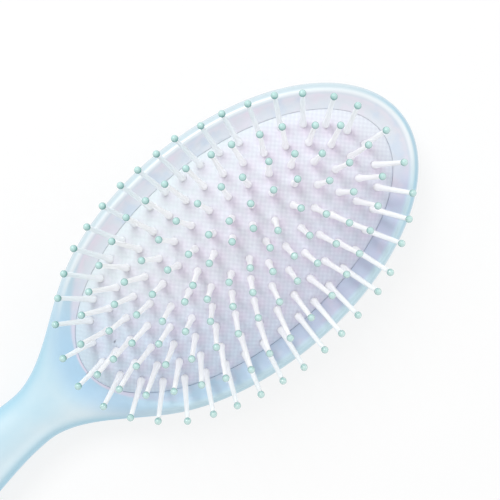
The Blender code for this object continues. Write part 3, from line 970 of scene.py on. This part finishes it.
for name, places in pin_groups.items():
    rider = "middle_pins" if name == "middle_ring" else name
    nodes = [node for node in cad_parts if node.startswith(name + "_pins")]
    if name == "middle_ring":
        nodes += ["lone_pin_near_handle", "lone_pin_near_end"]
    pins = piece_from(copies(pin_mesh(), places), name + "_white_pins", pin_white)
    tips = piece_from(copies(ball_mesh(), places), name + "_mint_tips", tip_mint)
    for thing in (pins, tips):
        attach(thing, rider)
    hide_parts(*nodes)

# %% [markdown]
# ## Pearl finish
#
# The body is pale blue plastic with pearl dust in it under a clear gloss, and its colour drifts
# from place to place, partly as pearl and partly as painted light and shade. Masks say where a
# place
# lies: each is 0 on one side of a pair of limits, 1 on the other, and rises smoothly between them.
# The limits are metres on the brush, or millimetres outside the seam, which every point of the body
# carries.

# %% Pearl masks
ONTO_HEAD = (-0.054, -0.030)
PAST_NECK = (-0.052, -0.026)
PAST_LOW_SIDE = (-0.018, -0.006)
PAST_LEFT = (-0.040, 0.022)
DISH_EDGE = RIM_DISH_WIDTH * MILLIMETRES
RIM_EDGE = (RIM_DISH_WIDTH + RIM_ROUND) * MILLIMETRES
NECK_DISH_SHARE = 0.15
NECK_DISH_FADE = 0.30 * DISH_EDGE
HEAD_DISH_FADE = 0.75 * DISH_EDGE
DISH_FADE_END = 1.08 * DISH_EDGE
UP_TO_CREST = (0.85 * DISH_EDGE, DISH_EDGE)
PAST_CREST = (1.04 * DISH_EDGE, 0.85 * RIM_EDGE)

offset = pearl.attribute("rim_offset")
place = pearl.place()
x, y, z = pearl.parts_of(place)
on_head = x.step(*ONTO_HEAD)
near_neck = 1 - x.step(*PAST_NECK)
low_side = 1 - y.step(*PAST_LOW_SIDE)
low_left = low_side * (1 - x.step(*PAST_LEFT))
dish_reach = offset / (on_head * (1 - NECK_DISH_SHARE) + NECK_DISH_SHARE)
dish_fade = on_head * (HEAD_DISH_FADE - NECK_DISH_FADE) + NECK_DISH_FADE
in_dish = 1 - dish_reach.step(dish_fade, DISH_FADE_END)
on_crest = offset.step(*UP_TO_CREST) * (1 - offset.step(*PAST_CREST))
print("the dish ends", round(DISH_EDGE, 1), "mm outside the seam")

# %% [markdown]
# The dish round the cushion shows the pearl dust most, in soft clouds of pink and blue. It is lilac
# towards the neck. Its low side is darker, a painted shade, and its low left a lighter, clearer
# blue, a painted reflection in place of the shine that its rougher surface loses there.

# %% Pearl of the dish
DISH_PALE = srgb(222, 227, 234)
DISH_PAINTED_SHADE = srgb(200, 206, 228)
LOW_BLUE_REFLECTION = srgb(194, 226, 243)
LOW_BLUE_SHARE = 0.9
NECK_LILAC = srgb(220, 212, 234)
NECK_LILAC_SHARE = 0.7
CLOUD_SCALE = 140
CLOUD_DETAIL = 3.0
CLOUD_PINK = srgb(236, 222, 234)
PINK_CLOUDS = (0.50, 0.70)
PINK_CLOUD_SHARE = 0.4
OUTER_DISH = (1.5, 4.2)
OUTER_PINK_SHARE = 0.35
CLOUD_BLUE = srgb(200, 216, 234)
BLUE_CLOUDS = (0.34, 0.50)
BLUE_CLOUD_SHARE = 0.5

cloud = pearl.noise(place, CLOUD_SCALE, CLOUD_DETAIL)
outer_pink = offset.step(*OUTER_DISH) * (1 - low_side) * OUTER_PINK_SHARE
dish = pearl.layered(
    DISH_PALE,
    # painted shade on the low side of the dish
    (low_side, DISH_PAINTED_SHADE),
    # painted reflection at the low left, a lighter blue
    (low_left * LOW_BLUE_SHARE, LOW_BLUE_REFLECTION),
    ((1 - on_head) * NECK_LILAC_SHARE, NECK_LILAC),
    (cloud.step(*PINK_CLOUDS) * PINK_CLOUD_SHARE + outer_pink, CLOUD_PINK),
    ((1 - cloud.step(*BLUE_CLOUDS)) * BLUE_CLOUD_SHARE, CLOUD_BLUE),
)
print("pearl so far", len(pearl.tree.nodes), "nodes")

# %% [markdown]
# The handle is paler along its top, a painted highlight that the clouds of the dish break up, and
# that painted light is stronger on its low side. The sides are a stronger cyan low down, and round
# the seam at the neck a darker blue is painted shade, where the rim falls to the seam. Masks on the
# height give the top and the sides.

# %% Pearl of the handle
HANDLE_BLUE = srgb(182, 223, 240)
TOP_PAINTED_LIGHT = srgb(224, 240, 247)
UP_TO_TOP = (0.0105, 0.0132)
PALE_BASE = 0.2
PALE_CLOUD_SHARE = 0.5
PALE_LOW_SIDE = (-0.010, 0.002)
PALE_LOW_SHARE = 0.6
EDGE_CYAN = srgb(152, 207, 232)
PAST_EDGE = (0.0076, 0.0127)
EDGE_SHARE = 0.85
NECK_PAINTED_SHADE = srgb(170, 208, 236)
PAST_NECK_BLUE = (3.0, 11.0)
NECK_BLUE_SHARE = 0.75

# painted light: the top paler, more so on the low side, broken up by the clouds
low_painted_light = (1 - y.step(*PALE_LOW_SIDE)) * PALE_LOW_SHARE
pale = z.step(*UP_TO_TOP) * (PALE_BASE + cloud * PALE_CLOUD_SHARE + low_painted_light)
handle = pearl.layered(
    HANDLE_BLUE,
    (pale, TOP_PAINTED_LIGHT),
    ((1 - z.step(*PAST_EDGE)) * EDGE_SHARE, EDGE_CYAN),
    # painted shade round the seam at the neck, a darker blue
    (near_neck * (1 - offset.step(*PAST_NECK_BLUE)) * NECK_BLUE_SHARE, NECK_PAINTED_SHADE),
)
print("pearl so far", len(pearl.tree.nodes), "nodes")

# %% [markdown]
# The crest of the rim carries a painted highlight, almost white and weaker on its low side, and a
# cyan line runs at the far end of its low side. The rim's colour lies over the handle's and fades
# into it at the neck, with painted shade on its low side.

# %% Pearl of the rim
HEAD_PALE = srgb(201, 219, 227)
HEAD_PAINTED_SHADE = srgb(188, 221, 234)
HEAD_SHARE = 0.9
ONTO_FAR_END = (0.030, 0.050)
PAST_CYAN_SIDE = (-0.002, 0.016)
ONTO_CYAN_LINE = (5.3, 6.1)
CYAN_LINE_SHARE = 0.6
CREST_PAINTED_HIGHLIGHT = srgb(240, 245, 248)
CREST_SHARE = 0.85
CREST_LOW_LOSS = 0.75

cyan_line = x.step(*ONTO_FAR_END) * (1 - y.step(*PAST_CYAN_SIDE)) * offset.step(*ONTO_CYAN_LINE)
outside = pearl.layered(
    handle,
    # painted shade on the low side of the rim
    (on_head * HEAD_SHARE, pearl.mix(low_side, HEAD_PALE, HEAD_PAINTED_SHADE)),
    (cyan_line * CYAN_LINE_SHARE, EDGE_CYAN),
    # painted highlight along the crest, weaker on the low side
    (on_crest * on_head * (1 - low_side * CREST_LOW_LOSS) * CREST_SHARE, CREST_PAINTED_HIGHLIGHT),
)
pearl.set("Base Color", pearl.mix(in_dish, outside, dish))
print("pearl colour", len(pearl.tree.nodes), "nodes")

# %% [markdown]
# A touch of metal and a middling roughness give the satin glow, and a smooth coat gives the sharp
# glints. The dish is softer, with hardly any coat, and so is the low left of the rim. Fine dust in
# the roughness breaks up the shine.

# %% Pearl shine
RIM_ROUGHNESS = 0.36
DISH_ROUGHER = 0.14
LOW_LEFT_ROUGHER = 0.16
DUST_SCALE = 1500
DUST_SHARE = 0.1
NOISE_MIDDLE = 0.5
PEARL_METAL = 0.12
RIM_COAT = 0.55
COAT_LOSS = 0.4
COAT_ROUGHNESS = 0.08

dust = (pearl.noise(place, DUST_SCALE) - NOISE_MIDDLE) * DUST_SHARE
pearl.set("Roughness", RIM_ROUGHNESS + in_dish * DISH_ROUGHER + low_left * LOW_LEFT_ROUGHER + dust)
pearl.set("Metallic", PEARL_METAL)
pearl.set("Coat Weight", RIM_COAT - in_dish * COAT_LOSS - low_left * (1 - in_dish) * COAT_LOSS)
pearl.set("Coat Roughness", COAT_ROUGHNESS)
print("pearl finish", len(pearl.tree.nodes), "nodes")

# %% [markdown]
# ## Cushion finish
#
# The face is a plain weave over rubber. Threads run along and across the brush and pass over and
# under by turns, so the high spots make a chequerboard: a product of two sines. The thread lines
# themselves are faint.

# %% Weave
THREAD_PITCH = 0.00081
THREAD_HEIGHT = 0.00009
CROSSING_SHARE = 0.4
LINE_SHARE = 0.25

u, v, _ = cushion_face.parts_of(cushion_face.place(scale=math.pi / THREAD_PITCH))
warp, weft = u.math("SINE"), v.math("SINE")
over_under = warp * weft
lines = (warp.math("ABSOLUTE") + weft.math("ABSOLUTE")) / 2
cushion_face.bump(over_under * CROSSING_SHARE + lines * LINE_SHARE, THREAD_HEIGHT)
print("threads", round(THREAD_PITCH * MILLIMETRES, 2), "mm apart")

# %% [markdown]
# The cloth is lavender over the middle and bluer at its low end. It is whiter at its upper left, a
# painted light, and a darker blue on its low side, a painted shade. Round the roots of the pins it
# is tinted pink, and the tint is shifted to their low side as a painted shadow. The low spots of
# the weave are darkened, a painted shade multiplied in, weaker where the cloth is white.

# %% Cloth colour
CLOTH_LAVENDER = srgb(232, 237, 244)
CLOTH_PAINTED_LIGHT = srgb(226, 236, 238)
WHITE_SLANT = 0.35
ONTO_WHITE = (0.0, 0.028)
CLOTH_PAINTED_SHADE = srgb(222, 231, 245)
PAST_CLOTH_SHADE = (-0.020, 0.002)
CLOTH_SHADE_SHARE = 0.85
CLOTH_BLUE = srgb(216, 236, 250)
PAST_CLOTH_BLUE = (-0.040, -0.010)
CLOTH_BLUE_SHARE = 0.75
ROOT_PINK_AND_SHADOW = srgb(248, 225, 247)
ROOT_SHARE = 0.5
ROOT_WHITE_LOSS = 0.2
THREAD_PAINTED_SHADE = srgb(244, 243, 246)
WHITE = srgb(255, 255, 255)
WEAVE_WHITE_LOSS = 0.6

place = cushion_face.place()
x, y, _ = cushion_face.parts_of(place)
upper_left = (y - x * WHITE_SLANT).step(*ONTO_WHITE)
low_side = 1 - y.step(*PAST_CLOTH_SHADE)
low_end = 1 - (y + x).step(*PAST_CLOTH_BLUE)
root_share = ROOT_SHARE - upper_left * ROOT_WHITE_LOSS
cloth = cushion_face.layered(
    CLOTH_LAVENDER,
    # painted light at the upper left
    (upper_left, CLOTH_PAINTED_LIGHT),
    # painted shade on the low side
    (low_side * CLOTH_SHADE_SHARE, CLOTH_PAINTED_SHADE),
    (low_end * CLOTH_BLUE_SHARE, CLOTH_BLUE),
    # pink round the roots, partly tint and partly painted shadow
    (cushion_face.attribute("root_tint_and_shadow") * root_share, ROOT_PINK_AND_SHADOW),
)
# painted shade: the low spots of the weave are darker
weave_painted_shade = cushion_face.mix(over_under / 2 + 0.5, THREAD_PAINTED_SHADE, WHITE)
weave_share = 1 - upper_left * WEAVE_WHITE_LOSS
woven = cushion_face.mix(weave_share, cloth, weave_painted_shade, "MULTIPLY")
cushion_face.set("Base Color", woven)
print("cloth colour", len(cushion_face.tree.nodes), "nodes")

# %% [markdown]
# A woven face has no gloss. A nap of fine noise in a high roughness keeps its shine soft, and a
# trace of sheen lifts it where it turns away.

# %% Cloth shine
CLOTH_ROUGHNESS = 0.66
NAP_SCALE = 900
NAP_SHARE = 0.16
CLOTH_SHEEN = 0.15

cushion_face.set("Roughness", CLOTH_ROUGHNESS + cushion_face.noise(place, NAP_SCALE) * NAP_SHARE)
cushion_face.set("Sheen Weight", CLOTH_SHEEN)
print("cushion finish", len(cushion_face.tree.nodes), "nodes")

# %% [markdown]
# ## Pin finishes
#
# The shafts are milky nylon, which light enters a little way, and each is faintly pink at its root.
# So thin a shaft also shows the cool colour of what lies behind it, which is painted in: the outer
# ones, which lean out over the rim, are painted a little bluer, most of all on the upper side. A
# very small glow stands in for the light that a milky shaft carries along its length, which a
# scatter of so short a reach loses.

# %% Nylon
NYLON_WHITE = srgb(254, 254, 254)
NYLON_ROOT = srgb(253, 251, 254)
PAST_ROOT = (0.017, 0.025)
NYLON_SEEN_THROUGH = srgb(228, 239, 245)
ONTO_RIM = (0.4, 1.3)
ONTO_UPPER_SIDE = (-0.020, 0.012)
LOW_COOL_SHARE = 0.6
NYLON_ROUGHNESS = 0.26
DRAWN_SCALE = 400
DRAWN_SHARE = 0.12
MILK_SHARE = 0.8
MILK_DEPTH = 0.0015
MILK_GLOW = 0.05
NYLON_COAT = 0.2

place = pin_white.place()
x, y, height = pin_white.parts_of(place)
reach = (x / PAD_HALF_LENGTH) ** 2 + (y / PAD_HALF_WIDTH) ** 2
# painted see-through colour on the outer pins
painted_see_through = reach.step(*ONTO_RIM) * (LOW_COOL_SHARE + y.step(*ONTO_UPPER_SIDE) * (1 - LOW_COOL_SHARE))
nylon = pin_white.mix(height.step(*PAST_ROOT), NYLON_ROOT, NYLON_WHITE)
pin_white.set("Base Color", pin_white.mix(painted_see_through, nylon, NYLON_SEEN_THROUGH))
pin_white.set("Roughness", NYLON_ROUGHNESS + pin_white.noise(place, DRAWN_SCALE) * DRAWN_SHARE)
pin_white.set("Subsurface Weight", MILK_SHARE)
pin_white.set("Subsurface Radius", (1.0, 1.0, 1.0))
pin_white.set("Subsurface Scale", MILK_DEPTH)
pin_white.set("Coat Weight", NYLON_COAT)
pin_white.set("Emission Color", NYLON_WHITE)
pin_white.set("Emission Strength", MILK_GLOW)
print("nylon finish", len(pin_white.tree.nodes), "nodes")

# %% [markdown]
# The tips are dipped in mint enamel, smooth enough for a small glint, with a soft drift in the
# green. Each ball is painted with its shade, deep green towards the shaft and pale at its crown,
# and it has a few pale flecks, partly glitter and partly painted glints. On the low side of the
# brush the tips are painted paler, as painted light, with more of the flecks.

# %% Mint enamel
MINT = srgb(184, 223, 220)
MINT_PAINTED_SHADE = srgb(80, 158, 151)
UP_TO_CROWN = (-0.28, 1.0)
DRIFT_SCALE = 160
DRIFT_SHARE = 0.3
MINT_PAINTED_LIGHT = srgb(216, 241, 236)
PAST_LOW_TIPS = (-0.042, 0.018)
LOW_PALE_SHARE = 0.38
FLECK_GLITTER_AND_GLINT = srgb(246, 253, 251)
FLECK_SCALE = 2200
FLECK_DETAIL = 1.0
FLECKS = (0.50, 0.62)
FLECK_SHARE = 0.1
LOW_FLECK_SHARE = 0.25
TIP_ROUGHNESS = 0.14
TIP_DRIFT_ROUGHER = 0.1
TIP_COAT = 0.8

place = tip_mint.place()
drift = tip_mint.noise(place, DRIFT_SCALE)
flecks = tip_mint.noise(place, FLECK_SCALE, FLECK_DETAIL).step(*FLECKS)
low_side = 1 - tip_mint.parts_of(place)[1].step(*PAST_LOW_TIPS)
crown = tip_mint.attribute("ball_crown").step(*UP_TO_CROWN)
enamel = tip_mint.layered(
    # painted shade of the ball: deep towards the shaft, pale at the crown
    MINT_PAINTED_SHADE,
    (crown * ((drift - NOISE_MIDDLE) * DRIFT_SHARE + 1), MINT),
    # painted light on the low side
    (low_side * LOW_PALE_SHARE, MINT_PAINTED_LIGHT),
    # flecks, partly glitter and partly painted glints
    (flecks * (FLECK_SHARE + low_side * LOW_FLECK_SHARE), FLECK_GLITTER_AND_GLINT),
)
tip_mint.set("Base Color", enamel)
tip_mint.set("Roughness", TIP_ROUGHNESS + drift * TIP_DRIFT_ROUGHER)
tip_mint.set("Coat Weight", TIP_COAT)
print("enamel finish", len(tip_mint.tree.nodes), "nodes")

# %% [markdown]
# ## Floor and light
#
# The floor is white for the camera, with a little of its real shading mixed in, which keeps the
# soft shadow under the brush. More light on a plain floor would whiten it too, but it would bleach
# the brush.

# %% Floor
FLOOR_HALF_SIZE = 1.2
FLOOR_DROP = 0.0001
FLOOR_SHADE_SHARE = 0.22
FLOOR_GREY = srgb(252, 252, 252)
PAPER_ROUGHNESS = 0.9
GRAIN_SCALE = 60
GRAIN_SHARE = 0.3


def seen_rays(graph):
    """1 for rays from the camera, from gloss and through glass, 0 for the rays that carry light."""
    outputs = graph.node("ShaderNodeLightPath").socket.node.outputs
    kinds = "Is Camera Ray", "Is Glossy Ray", "Is Transmission Ray"
    camera_ray, glossy_ray, clear_ray = [Wire(graph, outputs[kind]) for kind in kinds]
    return camera_ray.math("MAXIMUM", glossy_ray).math("MAXIMUM", clear_ray)


bm = bmesh.new()
bmesh.ops.create_grid(bm, x_segments=1, y_segments=1, size=FLOOR_HALF_SIZE)
bmesh.ops.translate(bm, vec=(0, 0, -FLOOR_DROP), verts=bm.verts)
paper = Finish("floor_paper", Roughness=PAPER_ROUGHNESS)
grain = paper.noise(paper.place(), GRAIN_SCALE) * GRAIN_SHARE
paper.set("Base Color", paper.mix(grain, FLOOR_GREY, WHITE))
glow = paper.node("ShaderNodeEmission", {}, {"Color": (*WHITE, 1.0), "Strength": 1.0})
real = Wire(paper, paper.shader.outputs[0])
white_share = seen_rays(paper) * (1 - FLOOR_SHADE_SHARE)
blended = paper.node("ShaderNodeMixShader", {}, {0: white_share, 1: real, 2: glow})
paper.feed(paper.tree.nodes["Material Output"].inputs["Surface"], blended)
floor = piece_from(bm, "floor", paper)

# %% [markdown]
# The world is white as well for the camera and in reflections, and dimmer as light, so that it and
# the lamps together show a colour about as it is written.

# %% World
WORLD_STRENGTH = 0.57

world = bpy.data.worlds.new("studio")
world.use_nodes = True
bpy.context.scene.world = world
studio = Graph(world.node_tree)
background = world.node_tree.nodes["Background"]
studio.feed(background.inputs["Color"], (*WHITE, 1.0))
strength = seen_rays(studio) * (1 - WORLD_STRENGTH) + WORLD_STRENGTH
studio.feed(background.inputs["Strength"], strength)
print("world light", WORLD_STRENGTH)

# %% [markdown]
# A large soft lamp behind the brush gives the form its light and the soft shadows of the pins. A
# wide, weak one low in front lifts the sides that face it, and two narrow strips give the thin
# glints. Each is given by its place, its size and its share: the light that it gives a white floor
# at the cushion.

# %% Lamps
LAMPS = {
    "key_softbox": ((0.075, 0.42, 0.50), (0.26, 0.26), 0.33),
    "fill_softbox": ((0.04, -0.50, 0.22), (0.90, 0.36), 0.08),
    "rim_strip": ((0.00, 0.42, 0.40), (0.42, 0.04), 0.04),
    "side_strip": ((0.42, -0.11, 0.40), (0.16, 0.06), 0.04),
}


def softbox(name, place, size, share):
    """An area lamp aimed at the cushion, as strong as its share asks from so far away."""
    lamp = bpy.data.lights.new(name, "AREA")
    lamp.shape = "RECTANGLE"
    lamp.size, lamp.size_y = size
    aim = seam_middle - Vector(place)
    lamp.energy = share * math.pi ** 2 * aim.length ** 2 / -aim.normalized().z
    thing = bpy.data.objects.new(name, lamp)
    bpy.context.scene.collection.objects.link(thing)
    thing.location = place
    thing.rotation_euler = aim.to_track_quat("-Z", "Y").to_euler()


for name, settings in LAMPS.items():
    softbox(name, *settings)
bpy.context.scene.view_settings.view_transform = "Standard"
print(len(LAMPS), "lamps")
